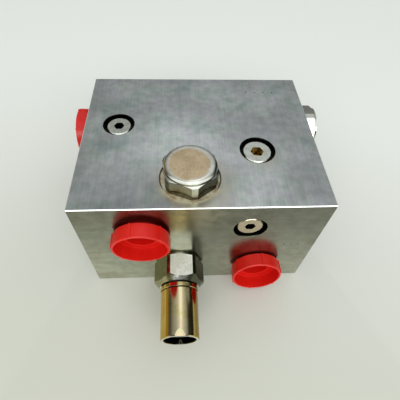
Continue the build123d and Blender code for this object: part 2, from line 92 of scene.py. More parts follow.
# ---------------------------------------------------------------- node tree helpers
class Nodes:
    """A node tree with short ways to add and join nodes."""

    def __init__(self, tree):
        self.tree = tree
        self.tree.nodes.clear()

    def add(self, kind, **settings):
        """A new node, with its properties set."""
        node = self.tree.nodes.new(kind)
        for key, value in settings.items():
            setattr(node, key, value)
        return node

    def put(self, socket, value):
        """Join an output to a socket, or set the socket's own value."""
        if isinstance(value, bpy.types.NodeSocket):
            self.tree.links.new(value, socket)
        else:
            socket.default_value = value

    def math(self, operation, first, second=0.0):
        """One operation on numbers."""
        node = self.add("ShaderNodeMath", operation=operation)
        self.put(node.inputs[0], first)
        self.put(node.inputs[1], second)
        return node.outputs["Value"]

    def times(self, first, second):
        """The product of two numbers."""
        return self.math("MULTIPLY", first, second)

    def plus(self, first, second):
        """The sum of two numbers."""
        return self.math("ADD", first, second)

    def span(self, value, low, high, to_low=0.0, to_high=1.0):
        """Map a value from one range to another, clamped, with soft ends."""
        node = self.add("ShaderNodeMapRange", interpolation_type="SMOOTHSTEP")
        self.put(node.inputs["Value"], value)
        node.inputs["From Min"].default_value = low
        node.inputs["From Max"].default_value = high
        node.inputs["To Min"].default_value = to_low
        node.inputs["To Max"].default_value = to_high
        return node.outputs["Result"]

    def band(self, value, rise, fall):
        """1 between two soft edges, each given as the values where it starts and ends."""
        return self.times(self.span(value, *rise), self.span(value, *fall, 1.0, 0.0))

    def mix(self, factor, first, second, blend="MIX"):
        """Blend two colours."""
        node = self.add("ShaderNodeMix", data_type="RGBA", blend_type=blend)
        self.put(node.inputs["Factor"], factor)
        self.put(node.inputs[6], first)
        self.put(node.inputs[7], second)
        return node.outputs[2]

    def shade(self, colour, level):
        """Multiply a colour by a level."""
        node = self.add("ShaderNodeCombineColor")
        for channel in range(3):
            self.put(node.inputs[channel], level)
        return self.mix(1.0, colour, node.outputs["Color"], "MULTIPLY")

    def ramp(self, factor, *stops):
        """A colour ramp through (position, colour) stops."""
        node = self.add("ShaderNodeValToRGB")
        elements = node.color_ramp.elements
        while len(elements) < len(stops):
            elements.new(0.5)
        for element, (position, colour) in zip(elements, stops):
            element.position = position
            element.color = (*colour, 1)
        self.put(node.inputs["Fac"], factor)
        return node.outputs["Color"]

    def dot(self, vector, direction):
        """How far a vector points in a direction."""
        node = self.add("ShaderNodeVectorMath", operation="DOT_PRODUCT")
        self.put(node.inputs[0], vector)
        node.inputs[1].default_value = direction
        return node.outputs["Value"]

    def split(self, vector):
        """The X, Y and Z of a vector."""
        node = self.add("ShaderNodeSeparateXYZ")
        self.put(node.inputs["Vector"], vector)
        return node.outputs


class Finish(Nodes):
    """A material under construction."""

    def __init__(self, name, metallic=0.0, specular=0.5):
        self.material = bpy.data.materials.new(name)
        self.material.use_nodes = True
        super().__init__(self.material.node_tree)
        self.shader = self.add("ShaderNodeBsdfPrincipled")
        self.shader.inputs["Metallic"].default_value = metallic
        self.shader.inputs["Specular IOR Level"].default_value = specular
        output = self.add("ShaderNodeOutputMaterial")
        self.tree.links.new(self.shader.outputs["BSDF"], output.inputs["Surface"])
        coordinates = self.add("ShaderNodeTexCoord")
        self.place = coordinates.outputs["Object"]
        self.facing = coordinates.outputs["Normal"]

    def set(self, name, value):
        """Give the shader one of its inputs."""
        self.put(self.shader.inputs[name], value)

    def noise(self, size, detail=3.0, stretch=(1, 1, 1), roughness=0.55, shift=0.0):
        """Noise from 0 to 1 with features of the given size, in metres."""
        scaled = self.add("ShaderNodeMapping")
        self.put(scaled.inputs["Vector"], self.place)
        scaled.inputs["Scale"].default_value = [s / size for s in stretch]
        scaled.inputs["Location"].default_value = (shift, shift, shift)
        texture = self.add("ShaderNodeTexNoise")
        self.put(texture.inputs["Vector"], scaled.outputs["Vector"])
        texture.inputs["Scale"].default_value = 1.0
        texture.inputs["Detail"].default_value = detail
        texture.inputs["Roughness"].default_value = roughness
        return texture.outputs["Fac"]

    def distance(self, point, scale=(1, 1, 1)):
        """Distance of the surface from a point, in metres."""
        away = self.add("ShaderNodeVectorMath", operation="SUBTRACT")
        self.put(away.inputs[0], self.place)
        away.inputs[1].default_value = point
        scaled = self.add("ShaderNodeVectorMath", operation="MULTIPLY")
        self.put(scaled.inputs[0], away.outputs["Vector"])
        scaled.inputs[1].default_value = scale
        length = self.add("ShaderNodeVectorMath", operation="LENGTH")
        self.put(length.inputs[0], scaled.outputs["Vector"])
        return length.outputs["Value"]

    def bump(self, height, depth, strength=1.0, under=None):
        """A bump of the given depth in metres, on top of an earlier one."""
        node = self.add("ShaderNodeBump")
        node.inputs["Strength"].default_value = strength
        node.inputs["Distance"].default_value = depth
        self.put(node.inputs["Height"], height)
        if under is not None:
            self.put(node.inputs["Normal"], under)
        return node.outputs["Normal"]


def grey(value):
    """A neutral colour."""
    return (value, value, value)


# ---------------------------------------------------------------- materials
def ground_top(finish, low, high, cloud, spots, grinding):
    """Colour of the ground top face: blue grey, mottled, with a fine lay along Y."""
    tint = finish.ramp(
        cloud,
        (0.30, (0.43, 0.50, 0.51)),
        (0.46, (0.54, 0.58, 0.57)),
        (0.56, (0.56, 0.56, 0.60)),
        (0.72, (0.48, 0.54, 0.53)),
    )
    patch = finish.noise(34 * MM, detail=3, shift=7.0)
    patches = finish.times(finish.span(patch, 0.35, 0.65, 0.84, 1.12), spots)
    lay = finish.span(grinding, 0.35, 0.65, 0.95, 1.04)
    # brighter in the middle, duller at the front left
    centre = Vector(((low.x + high.x) / 2, 0, high.z))
    brighter_place = centre - Vector((8, 0, 0)) * MM
    dull_place = centre - Vector((30, 46, 0)) * MM
    brighter_middle = finish.span(finish.distance(brighter_place), 0, 42 * MM, 1.36, 1.0)
    dull = finish.span(finish.distance(dull_place), 8 * MM, 34 * MM, 0.76, 1.0)
    lay = finish.times(lay, finish.times(brighter_middle, dull))
    return finish.shade(tint, finish.times(patches, lay))


def milled_side(finish, low, high, place, cloud, spots):
    """Colour of the milled sides: olive and darker than the top, partly oily and partly
    painted shade, lighter at the foot and darkest along the top as painted reflection, and
    darker towards the right.
    """
    tint = finish.ramp(
        cloud,
        (0.32, (0.26, 0.26, 0.20)),
        (0.50, (0.34, 0.34, 0.27)),
        (0.70, (0.30, 0.32, 0.26)),
    )
    milling = finish.noise(1.2 * MM, detail=2, stretch=(0.05, 1, 1))
    # painted reflection: lighter at the foot, where the near floor is mirrored, and darker
    # towards the top
    fade = finish.span(place["Z"], low.z, high.z, 1.65, 0.80)
    milled = finish.times(spots, finish.span(milling, 0.35, 0.65, 0.95, 1.05))
    milled = finish.times(milled, finish.span(place["X"], -30 * MM, 15 * MM, 1.0, 0.80))
    return finish.shade(tint, finish.times(fade, milled))


def slanting_faces(finish, low, high, place, upward):
    """Masks of the broken edges round the top face, and of the punch dots."""
    slant = finish.band(upward, (0.35, 0.6), (0.8, 0.95))
    margin = 1.0 * MM
    near_rim = 0.0
    for rim in (
        finish.span(place["X"], low.x, low.x + margin, 1.0, 0.0),
        finish.span(place["X"], high.x - margin, high.x),
        finish.span(place["Y"], low.y, low.y + margin, 1.0, 0.0),
        finish.span(place["Y"], high.y - margin, high.y),
    ):
        near_rim = finish.math("MAXIMUM", near_rim, rim)
    near_top = finish.span(place["Z"], high.z - margin, high.z - 0.6 * margin)
    near_rim = finish.times(finish.span(near_rim, 0.1, 0.4), near_top)
    edge = finish.times(slant, near_rim)
    dent = finish.times(slant, finish.math("SUBTRACT", 0.95, near_rim))
    return edge, dent


def painted_gap_shade(finish, colour, low, high, place):
    """Blacken the gaps round the sunk plugs with painted shade."""
    sunk, deep, gap = 0.4 * MM, 10 * MM, 2.2 * MM
    below_top = finish.band(
        place["Z"],
        (high.z - 2 * deep, high.z - deep),
        (high.z - 2 * sunk, high.z - sunk),
    )
    behind_front = finish.band(
        place["Y"],
        (low.y + sunk, low.y + 2 * sunk),
        (low.y + deep, low.y + 2 * deep),
    )
    for node, face_plane, inside in (
        ("gauge_port_plug", (1, 1, 0), below_top),
        ("tank_gallery_plug", (1, 1, 0), below_top),
        ("front_gallery_plug", (1, 0, 1), behind_front),
    ):
        plug_low, plug_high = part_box(node)
        reach = (plug_high.x - plug_low.x) / 2 + gap
        from_plug = finish.distance(middle(node), face_plane)
        # painted shade: a black ring in the gap round each sunk plug
        gap_shade = finish.times(finish.span(from_plug, reach, reach + sunk, 1.0, 0.0), inside)
        colour = finish.mix(finish.times(gap_shade, 0.92), colour, SHADE_BLACK)
    return colour


def spotface_marks(finish, high, place, on_top, film):
    """Masks of the dried stain round the check cap, and of a black ring of painted shade at
    the spotface's edge.
    """
    cap_middle = middle("check_cap")
    from_cap = finish.distance(cap_middle, (1, 1, 0))
    ragged_reach = finish.plus(from_cap, finish.times(film, 4.0 * MM))
    spill = finish.span(ragged_reach, 16.6 * MM, 20.5 * MM, 1.0, 0.0)
    nearer = finish.span(
        place["Y"], cap_middle.y - 11 * MM, cap_middle.y - 3 * MM, 1.0, 0.0
    )
    recess = finish.span(place["Z"], high.z - 0.3 * MM, high.z - 0.1 * MM, 1.0, 0.0)
    spotface = finish.span(from_cap, 15.6 * MM, 16.0 * MM, 1.0, 0.0)
    on_floor = finish.times(recess, spotface)
    stain = finish.math("MAXIMUM", finish.times(spill, nearer), on_floor)

    # painted shade: a black ring where the spotface's edge shows dark
    painted_ring_shade = finish.band(from_cap, (14.5 * MM, 14.9 * MM), (15.25 * MM, 15.6 * MM))
    painted_ring_shade = finish.times(painted_ring_shade, finish.span(nearer, 0.2, 0.8, 0.95, 0.0))
    near_top = finish.span(place["Z"], high.z - 1.5 * MM, high.z)
    return finish.times(on_top, stain), finish.times(painted_ring_shade, near_top)


def ground_steel():
    """Surface-ground steel with a thin oil film: mottled, streaked and stained."""
    finish = Finish("ground_steel", metallic=1.0)
    low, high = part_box("manifold_block")
    place = finish.split(finish.place)
    upward = finish.split(finish.facing)["Z"]
    on_top = finish.span(upward, 0.5, 0.9)
    cloud = finish.noise(15 * MM, detail=4)
    film = finish.noise(4.5 * MM, detail=5, shift=3.0)
    grinding = finish.noise(1.0 * MM, detail=3, stretch=(1, 0.035, 1), shift=11.0)
    spots = finish.span(film, 0.35, 0.65, 0.90, 1.06)

    top_colour = ground_top(finish, low, high, cloud, spots, grinding)
    side_colour = milled_side(finish, low, high, place, cloud, spots)
    # the sides are painted darker than the top, partly as painted shade
    colour = finish.mix(on_top, side_colour, top_colour)
    # the broken edges are painted lighter as a painted highlight, and the punch dots are
    # painted dark as painted shade in the dents
    edge, dent = slanting_faces(finish, low, high, place, upward)
    colour = finish.mix(edge, colour, (0.58, 0.60, 0.58, 1))
    colour = finish.mix(dent, colour, (0.05, 0.05, 0.04, 1))
    for node, reach in (("check_cap", 26 * MM), ("tank_gallery_plug", 16 * MM)):
        centre = middle(node) + Vector((2, -4, 0)) * MM
        near = finish.span(finish.distance(centre), 0.4 * reach, reach, 0.7, 0.0)
        ragged = finish.times(near, finish.span(film, 0.3, 0.6))
        colour = finish.mix(ragged, colour, (0.46, 0.40, 0.27, 1))
    colour = painted_gap_shade(finish, colour, low, high, place)
    # the spotface under the check cap: a dried cream stain, and a black ring of painted shade
    # round its edge
    stain, painted_ring_shade = spotface_marks(finish, high, place, on_top, film)
    cream = finish.ramp(
        film,
        (0.35, (0.30, 0.21, 0.10)),
        (0.50, (0.55, 0.46, 0.28)),
        (0.62, (0.70, 0.68, 0.50)),
    )
    colour = finish.mix(finish.times(stain, 0.85), colour, cream)
    colour = finish.mix(painted_ring_shade, colour, SHADE_BLACK)
    finish.set("Base Color", colour)
    finish.set("Metallic", finish.span(stain, 0.0, 1.0, 1.0, 0.35))

    # the sides are smoother than the top, the stain is dull and the edges are polished
    rough = finish.times(
        finish.span(cloud, 0.3, 0.7, 0.28, 0.36), finish.span(on_top, 0, 1, 0.74, 1.0)
    )
    rough = finish.math("MAXIMUM", rough, finish.times(stain, 0.65))
    polish = finish.math("SUBTRACT", 1.0, finish.times(edge, 0.4))
    finish.set("Roughness", finish.times(rough, polish))
    scratches = finish.bump(grinding, 0.01 * MM, 0.5)
    finish.set("Normal", finish.bump(film, 0.03 * MM, 0.35, scratches))
    return finish.material


def plated_steel(name, tint, dark_tint):
    """Bright plated steel with fine speckle, faint clouding and oily dark spots."""
    finish = Finish(name, metallic=1.0)
    cloud = finish.noise(6 * MM, detail=4)
    speckle = finish.noise(0.7 * MM, detail=3, shift=5.0)
    oil_and_shade = finish.span(finish.noise(1.6 * MM, detail=4, shift=2.0), 0.36, 0.46, 0.72, 1.0)
    colour = finish.ramp(cloud, (0.35, dark_tint), (0.62, tint))
    finish.set("Base Color", finish.shade(colour, oil_and_shade))
    finish.set("Roughness", finish.span(cloud, 0.3, 0.7, 0.12, 0.26))
    finish.set("Normal", finish.bump(speckle, 0.02 * MM, 0.4))
    return finish.material


def cap_steel(name, node, outward, disc_radius, shadow, flat_shade_strength):
    """Plated hexagonal cap whose end disc has gone tan, with fine dark specks.

    The flats are oily and olive, with painted shade that is darkest towards the shadow
    direction and at the foot, and a painted highlight on the corner strips.
    """
    finish = Finish(name, metallic=1.0)
    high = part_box(node)[1]
    heights = zip(high, middle(node), outward)
    end = Vector([far if axis > 0 else centre for far, centre, axis in heights])
    sideways = [1 - axis for axis in outward]
    cloud = finish.noise(5 * MM, detail=4)
    speck = finish.noise(0.7 * MM, detail=4, shift=6.0)
    plate = finish.ramp(cloud, (0.35, (0.66, 0.66, 0.61)), (0.62, (0.80, 0.80, 0.76)))

    # painted shade and highlight on the flats: a painted highlight on the corner strips,
    # olive on the near flats and near black towards the shadow direction
    towards_shadow = finish.dot(finish.facing, shadow)
    along = finish.math("ABSOLUTE", finish.dot(finish.facing, outward))
    flat = finish.span(along, 0.2, 0.4, 1.0, 0.0)
    oil_and_shade = finish.ramp(
        finish.plus(finish.times(towards_shadow, 0.5), 0.5),
        (0.02, (0.20, 0.19, 0.16)),
        (0.30, (0.44, 0.41, 0.29)),
        (0.50, (0.84, 0.84, 0.74)),
        (0.62, (0.90, 0.92, 0.82)),
        (0.70, (0.045, 0.055, 0.035)),
    )
    # painted shade: the flats darken towards the foot
    below = finish.distance(end, outward)
    oil_and_shade = finish.shade(oil_and_shade, finish.span(below, 3.0 * MM, 11.0 * MM, 1.15, 0.40))
    plate = finish.mix(finish.times(flat, flat_shade_strength), plate, oil_and_shade, "MULTIPLY")

    tan = finish.ramp(cloud, (0.35, (0.58, 0.44, 0.28)), (0.65, (0.74, 0.58, 0.39)))
    tan = finish.shade(tan, finish.span(speck, 0.34, 0.46, 0.72, 1.0))
    off_centre = end - 0.7 * MM * Vector(sideways)
    from_axis = finish.distance(off_centre, sideways)
    ragged = finish.plus(from_axis, finish.times(cloud, 1.6 * MM))
    inside = finish.span(
        ragged, disc_radius - 0.8 * MM, disc_radius + 1.3 * MM, 1.0, 0.0
    )
    on_end = finish.span(below, 0.1 * MM, 0.4 * MM, 1.0, 0.0)
    disc = finish.times(inside, on_end)
    finish.set("Base Color", finish.mix(disc, plate, tan))
    rough = finish.span(cloud, 0.3, 0.7, 0.10, 0.20)
    finish.set("Roughness", finish.plus(rough, finish.times(disc, 0.16)))
    finish.set("Normal", finish.bump(speck, 0.02 * MM, 0.5))
    return finish.material


def cartridge_steel(name, node):
    """Speckled bright plate on the cartridge's hexagon; its side flats are darkened with
    painted shade, most on the right and at the root by the block.
    """
    finish = Finish(name, metallic=1.0)
    cloud = finish.noise(4 * MM, detail=4)
    speckle = finish.noise(0.6 * MM, detail=3, shift=5.0)
    plate = finish.ramp(cloud, (0.35, (0.86, 0.88, 0.79)), (0.62, (0.95, 0.97, 0.91)))
    plate = finish.shade(plate, finish.span(speckle, 0.36, 0.46, 0.80, 1.0))
    facing = finish.split(finish.facing)
    side = facing["X"]
    # painted shade and highlight by facing: olive on the left flats, white on top, near black
    # on the right
    oil_and_shade = finish.ramp(
        finish.span(side, -0.95, 0.95),
        (0.0, (0.34, 0.31, 0.18)),
        (0.30, (0.55, 0.51, 0.33)),
        (0.42, (1.0, 1.0, 1.0)),
        (0.60, (1.0, 1.0, 1.0)),
        (0.75, (0.12, 0.13, 0.09)),
    )
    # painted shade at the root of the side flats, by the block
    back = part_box(node)[1].y
    root = finish.span(finish.split(finish.place)["Y"], back - 26 * MM, back - 16 * MM)
    flank = finish.span(finish.math("ABSOLUTE", side), 0.3, 0.6, 0.0, 0.75)
    oil_and_shade = finish.mix(finish.times(root, flank), oil_and_shade, (0.10, 0.10, 0.07, 1))
    finish.set("Base Color", finish.mix(1.0, plate, oil_and_shade, "MULTIPLY"))
    dry = finish.span(facing["Z"], 0.90, 0.97, 0.0, 0.45)
    finish.set("Roughness", finish.plus(finish.span(cloud, 0.3, 0.7, 0.12, 0.24), dry))
    finish.set("Normal", finish.bump(speckle, 0.02 * MM, 0.4))
    return finish.material


def sunk_plug_steel(name, node, outward, tint, key_radius, socket_colour_and_shade):
    """Hollow-hex plug head: pale plate with fine grain; its key socket is painted one flat
    colour, near black as painted shade in the recess, golden brown in the tank gallery plug.
    """
    finish = Finish(name, metallic=1.0)
    low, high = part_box(node)
    face = Vector([far if axis > 0 else near for near, far, axis in zip(low, high, outward)])
    sideways = [1 - abs(axis) for axis in outward]
    cloud = finish.noise(3 * MM, detail=4)
    grain = finish.noise(0.5 * MM, detail=3, shift=5.0)
    dark_tint = [0.80 * channel for channel in tint]
    colour = finish.ramp(cloud, (0.35, dark_tint), (0.60, tint))
    colour = finish.shade(colour, finish.span(grain, 0.36, 0.46, 0.85, 1.0))
    from_axis = finish.distance(middle(node), sideways)
    inside = finish.span(from_axis, key_radius, key_radius + 0.1 * MM, 1.0, 0.0)
    below = finish.distance(face, [abs(axis) for axis in outward])
    sunk = finish.span(below, 0.15 * MM, 0.40 * MM)
    # painted shade: the key socket below the face gets its flat colour
    colour = finish.mix(finish.times(inside, sunk), colour, (*socket_colour_and_shade, 1))
    finish.set("Base Color", colour)
    finish.set("Roughness", finish.span(cloud, 0.3, 0.7, 0.16, 0.28))
    finish.set("Normal", finish.bump(grain, 0.02 * MM, 0.4))
    return finish.material


def yellow_chromate():
    """Yellow chromate over zinc on the adjuster guard: mirror bright, golden at a slant.

    The end face is rubbed down to silver; the bore, the foot and the two grooves are painted
    black as shade, and the right flank is painted darker as shade.
    """
    finish = Finish("yellow_chromate", metallic=1.0)
    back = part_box("adjuster_guard")[1].y
    radius = finish.distance(middle("adjuster_guard"), (1, 0, 1))
    # painted shade: the bore, the foot by the block and the two grooves are painted black
    bore = finish.span(radius, 8.50 * MM, 8.70 * MM, 1.0, 0.0)
    along = finish.split(finish.place)["Y"]
    foot = finish.span(along, back - 0.80 * MM, back - 0.60 * MM)
    groove = finish.band(
        along,
        (back - 3.75 * MM, back - 3.60 * MM),
        (back - 2.95 * MM, back - 2.80 * MM),
    )
    groove = finish.times(groove, finish.span(radius, 10.00 * MM, 10.15 * MM, 1.0, 0.0))
    black = finish.math("MAXIMUM", finish.math("MAXIMUM", bore, foot), groove)
    facing = finish.split(finish.facing)
    end_face = finish.span(facing["Y"], -0.95, -0.80, 1.0, 0.0)
    # painted shade: the right flank is painted darker
    right_flank = finish.span(facing["X"], 0.5, 0.9, 1.0, 0.5)
    bloom = finish.noise(7 * MM, detail=3)
    speckle = finish.noise(0.8 * MM, detail=3, shift=9.0)
    slant = finish.add("ShaderNodeLayerWeight").outputs["Facing"]
    square = finish.ramp(
        bloom,
        (0.30, (0.64, 0.52, 0.24)),
        (0.45, (0.70, 0.62, 0.36)),
        (0.56, (0.72, 0.58, 0.40)),
        (0.70, (0.58, 0.60, 0.34)),
    )
    aslant = finish.ramp(bloom, (0.35, (0.54, 0.32, 0.03)), (0.65, (0.60, 0.43, 0.06)))
    colour = finish.mix(finish.span(slant, 0.12, 0.5), square, aslant)
    colour = finish.mix(end_face, colour, (0.88, 0.88, 0.80, 1))
    colour = finish.shade(colour, right_flank)
    colour = finish.mix(black, colour, (0.02, 0.018, 0.012, 1))
    finish.set("Base Color", colour)
    finish.set("Roughness", finish.span(speckle, 0.3, 0.7, 0.09, 0.17))
    finish.set("Normal", finish.bump(speckle, 0.01 * MM, 0.3))
    return finish.material


def moulded_red():
    """Red moulded polyethylene: waxy, faintly uneven, with fine scuffs."""
    finish = Finish("moulded_red", specular=0.45)
    cloud = finish.noise(10 * MM, detail=3)
    texture = finish.noise(0.6 * MM, detail=2, shift=4.0)
    finish.set(
        "Base Color",
        finish.ramp(cloud, (0.3, (0.60, 0.006, 0.003)), (0.7, (0.72, 0.012, 0.006))),
    )
    finish.set("Roughness", finish.span(texture, 0.3, 0.7, 0.30, 0.40))
    finish.shader.inputs["Subsurface Weight"].default_value = 0.04
    finish.shader.inputs["Subsurface Radius"].default_value = (0.0012, 0.0002, 0.0002)
    finish.shader.inputs["Subsurface Scale"].default_value = 1.0
    finish.set("Normal", finish.bump(texture, 0.03 * MM, 0.35))
    return finish.material


def nitrile_rubber():
    """Black nitrile O-rings with a light dusting."""
    finish = Finish("nitrile_rubber")
    dust = finish.noise(1.6 * MM, detail=4)
    finish.set("Base Color", finish.ramp(dust, (0.4, grey(0.010)), (0.75, grey(0.035))))
    finish.set("Roughness", finish.span(dust, 0.3, 0.7, 0.38, 0.6))
    finish.set("Normal", finish.bump(dust, 0.02 * MM, 0.4))
    return finish.material


def hardened_steel():
    """Ground and hardened steel of the poppets, spool and seat."""
    finish = Finish("hardened_steel", metallic=1.0)
    cloud = finish.noise(5 * MM, detail=4)
    grind = finish.noise(0.5 * MM, detail=2, shift=2.0)
    finish.set("Base Color", finish.ramp(cloud, (0.3, grey(0.36)), (0.7, grey(0.50))))
    finish.set("Roughness", finish.span(cloud, 0.3, 0.7, 0.14, 0.26))
    finish.set("Normal", finish.bump(grind, 0.01 * MM, 0.4))
    return finish.material


def oiled_spring_steel():
    """Dark oil-tempered wire."""
    finish = Finish("oiled_spring_steel", metallic=1.0)
    cloud = finish.noise(3 * MM, detail=4)
    finish.set(
        "Base Color",
        finish.ramp(cloud, (0.3, (0.07, 0.07, 0.08)), (0.7, (0.18, 0.16, 0.14))),
    )
    finish.set("Roughness", finish.span(cloud, 0.3, 0.7, 0.25, 0.42))
    finish.set("Normal", finish.bump(cloud, 0.02 * MM, 0.4))
    return finish.material


def backup_plastic():
    """White filled PTFE backup rings."""
    finish = Finish("backup_plastic")
    cloud = finish.noise(2 * MM, detail=4)
    finish.set(
        "Base Color",
        finish.ramp(cloud, (0.3, (0.62, 0.60, 0.52)), (0.7, (0.78, 0.76, 0.68))),
    )
    finish.set("Roughness", finish.span(cloud, 0.3, 0.7, 0.42, 0.55))
    finish.set("Normal", finish.bump(cloud, 0.02 * MM, 0.3))
    return finish.material


def paint(material, *names):
    """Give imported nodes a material."""
    for name in names:
        mesh = nodes[name].data
        mesh.materials.clear()
        mesh.materials.append(material)


paint(ground_steel(), "manifold_block")
cap_disc = 10.5 * MM
paint(
    cap_steel("check_cap_steel", "check_cap", (0, 0, 1), cap_disc, (1, 0, 0), 0.95),
    "check_cap",
)
paint(
    cap_steel("spool_cap_steel", "spool_cap", (1, 0, 0), cap_disc, (0, 0, -1), 0.25),
    "spool_cap",
)
paint(cartridge_steel("cartridge_steel", "relief_body"), "relief_body")
silver = plated_steel("zinc_plate", (0.74, 0.76, 0.68), (0.62, 0.62, 0.55))
paint(silver, "lock_nut", "adjusting_screw")
for plug, outward, tint, key_radius, socket_colour_and_shade in (
    ("gauge_port_plug", (0, 0, 1), (0.70, 0.71, 0.66), 3.0 * MM, (0.02, 0.02, 0.015)),
    ("tank_gallery_plug", (0, 0, 1), (0.78, 0.80, 0.74), 3.7 * MM, (0.42, 0.32, 0.14)),
    ("front_gallery_plug", (0, -1, 0), (0.66, 0.58, 0.42), 3.0 * MM, (0.04, 0.035, 0.02)),
):
    paint(sunk_plug_steel(plug + "_steel", plug, outward, tint, key_radius, socket_colour_and_shade), plug)
paint(yellow_chromate(), "adjuster_guard")
paint(moulded_red(), "supply_port_plug", "tank_port_plug", "service_port_plug")
paint(nitrile_rubber(), *[name for name in nodes if name.endswith("_seal")])
paint(
    hardened_steel(),
    "gallery_seal_balls",
    "check_seat",
    "check_poppet",
    "spool",
    "damping_orifice",
    "relief_nose",
    "relief_poppet",
    "relief_spring_seat",
)
paint(oiled_spring_steel(), "check_spring", "spool_spring", "relief_spring")
paint(backup_plastic(), "relief_backup_rings")


# ---------------------------------------------------------------- threads and springs
def stand_in(name, mesh, node):
    """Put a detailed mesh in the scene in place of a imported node."""
    mesh.materials.append(nodes[node].data.materials[0])
    piece = bpy.data.objects.new(name, mesh)
    bpy.context.scene.collection.objects.link(piece)
    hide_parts(node)
    return piece


def cross_axes(axis):
    """Two directions square to an axis."""
    across = axis.orthogonal().normalized()
    return across, axis.cross(across)


def thread_depth(phase):
    """Depth of a 60 degree thread over one pitch, from 0 at its flat crest to 1."""
    half_crest, slope = 0.12, 0.63
    return min(max((abs(2 * phase - 1) - half_crest) / slope, 0), 1)


def cut_thread(name, node, outward, radius, pitch, depth):
    """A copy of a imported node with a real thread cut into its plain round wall."""
    foot_band, wall_band = 0.05 * MM, 0.04 * MM
    rows_per_turn, around = 8, 48
    outward = Vector(outward)
    across, up = cross_axes(outward)
    work = bmesh.new()
    work.from_mesh(nodes[node].data)
    foot_level = min(vertex.co.dot(outward) for vertex in work.verts)
    foot = [v.co for v in work.verts if v.co.dot(outward) < foot_level + foot_band]
    low, high = (Vector([pick(c[i] for c in foot) for i in range(3)]) for pick in (min, max))
    centre = (low + high) / 2

    def off_wall(point):
        away = point - centre
        return abs((away - outward * away.dot(outward)).length - radius)

    wall = [f for f in work.faces if all(off_wall(v.co) < wall_band for v in f.verts)]
    levels = [(v.co - centre).dot(outward) for face in wall for v in face.verts]
    start, end = min(levels), max(levels)
    bmesh.ops.delete(work, geom=wall, context="FACES")

    rows = round((end - start) / pitch * rows_per_turn)
    runout = 0.8 * pitch
    previous = None
    for row in range(rows + 1):
        rise = start + (end - start) * row / rows
        fade = min(1, (rise - start) / runout, (end - rise) / runout)
        ring = []
        for step in range(around):
            angle = 2 * math.pi * step / around
            reach = radius - depth * fade * thread_depth((rise / pitch - step / around) % 1)
            spoke = across * math.cos(angle) + up * math.sin(angle)
            ring.append(work.verts.new(centre + outward * rise + spoke * reach))
        if previous:
            for step in range(around):
                after = (step + 1) % around
                face = work.faces.new(
                    (previous[step], previous[after], ring[after], ring[step])
                )
                face.smooth = True
        previous = ring
    mesh = bpy.data.meshes.new(name)
    work.to_mesh(mesh)
    work.free()
    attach(stand_in(name, mesh, node), nodes[node]["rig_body"])


def wind_coil(name, node, outward, wire, coils, first=0.0, last=1.0):
    """The mesh of a spring with closed ends, between two shares of its turns."""
    low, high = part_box(node)
    across, up = cross_axes(outward)
    centre = middle(node)
    length = abs((high - low).dot(outward))
    mean = abs((high - low).dot(across)) / 2 - wire / 2
    closed = 0.9
    opening = coils - 2 * closed
    pitch = (length - wire - 2 * closed * wire) / opening
    around, sides = 32, 12
    steps = range(round(first * coils * around), round(last * coils * around) + 1)
    vertices = []
    for step in steps:
        turned = step / around
        opened = min(max(turned - closed, 0), opening)
        rise = (wire - length) / 2 + pitch * opened + wire * (turned - opened)
        angle = 2 * math.pi * turned
        spoke = across * math.cos(angle) + up * math.sin(angle)
        for side in range(sides):
            around_wire = 2 * math.pi * side / sides
            reach = mean + wire / 2 * math.cos(around_wire)
            level = rise + wire / 2 * math.sin(around_wire)
            vertices.append(centre + spoke * reach + outward * level)
    faces = []
    for row in range(len(steps) - 1):
        for side in range(sides):
            here = row * sides + side
            beside = row * sides + (side + 1) % sides
            faces.append((here, here + sides, beside + sides, beside))
    top = (len(steps) - 1) * sides
    faces.append(tuple(range(sides)))
    faces.append(tuple(top + side for side in reversed(range(sides))))
    mesh = bpy.data.meshes.new(name)
    mesh.from_pydata(vertices, [], faces)
    mesh.shade_smooth()
    return mesh


def wind_spring(node, outward, wire, coils):
    """A spring on a fixed seat, wound once at its rest length and put on the imported
    spring's body.
    """
    outward = Vector(outward)
    mesh = wind_coil(node + "_coil", node, outward, wire, coils)
    piece = stand_in(mesh.name, mesh, node)
    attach(piece, nodes[node]["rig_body"])
    low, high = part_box(node)
    length = abs((high - low).dot(outward))
    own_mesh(piece)


def wind_halved_spring(node, outward, wire, coils, inner_body, outer_body):
    """A spring that sits between two moving bodies, made as two halves that meet at its
    middle; the halves stay where the imported spring stands and follow neither body.
    """
    outward = Vector(outward)
    low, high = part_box(node)
    reach = outward * abs((high - low).dot(outward)) / 2
    for half, first, last, side, body in (
        ("inner", 0.0, 0.5, -1, inner_body),
        ("outer", 0.5, 1.0, 1, outer_body),
    ):
        mesh = wind_coil(f"{node}_{half}_coil", node, outward, wire, coils, first, last)
        piece = stand_in(mesh.name, mesh, node)
        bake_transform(piece)


port_pitch = 25.4 / 14 * MM
port_radius = 10.05 * MM
port_depth = 0.9 * MM
for plug, outward in (
    ("supply_port_plug", (0, -1, 0)),
    ("tank_port_plug", (0, -1, 0)),
    ("service_port_plug", (-1, 0, 0)),
):
    cut_thread(
        plug + "_threaded", plug, outward, port_radius, port_pitch, port_depth
    )
cut_thread(
    "adjusting_screw_threaded",
    "adjusting_screw",
    (0, -1, 0),
    3.97 * MM,
    1.0 * MM,
    0.55 * MM,
)
wind_spring("check_spring", (0, 0, 1), 0.9 * MM, 7.5)
wind_spring("spool_spring", (1, 0, 0), 1.6 * MM, 6.0)
wind_halved_spring(
    "relief_spring", (0, -1, 0), 1.1 * MM, 4.0, "relief_poppet", "spring_seat"
)


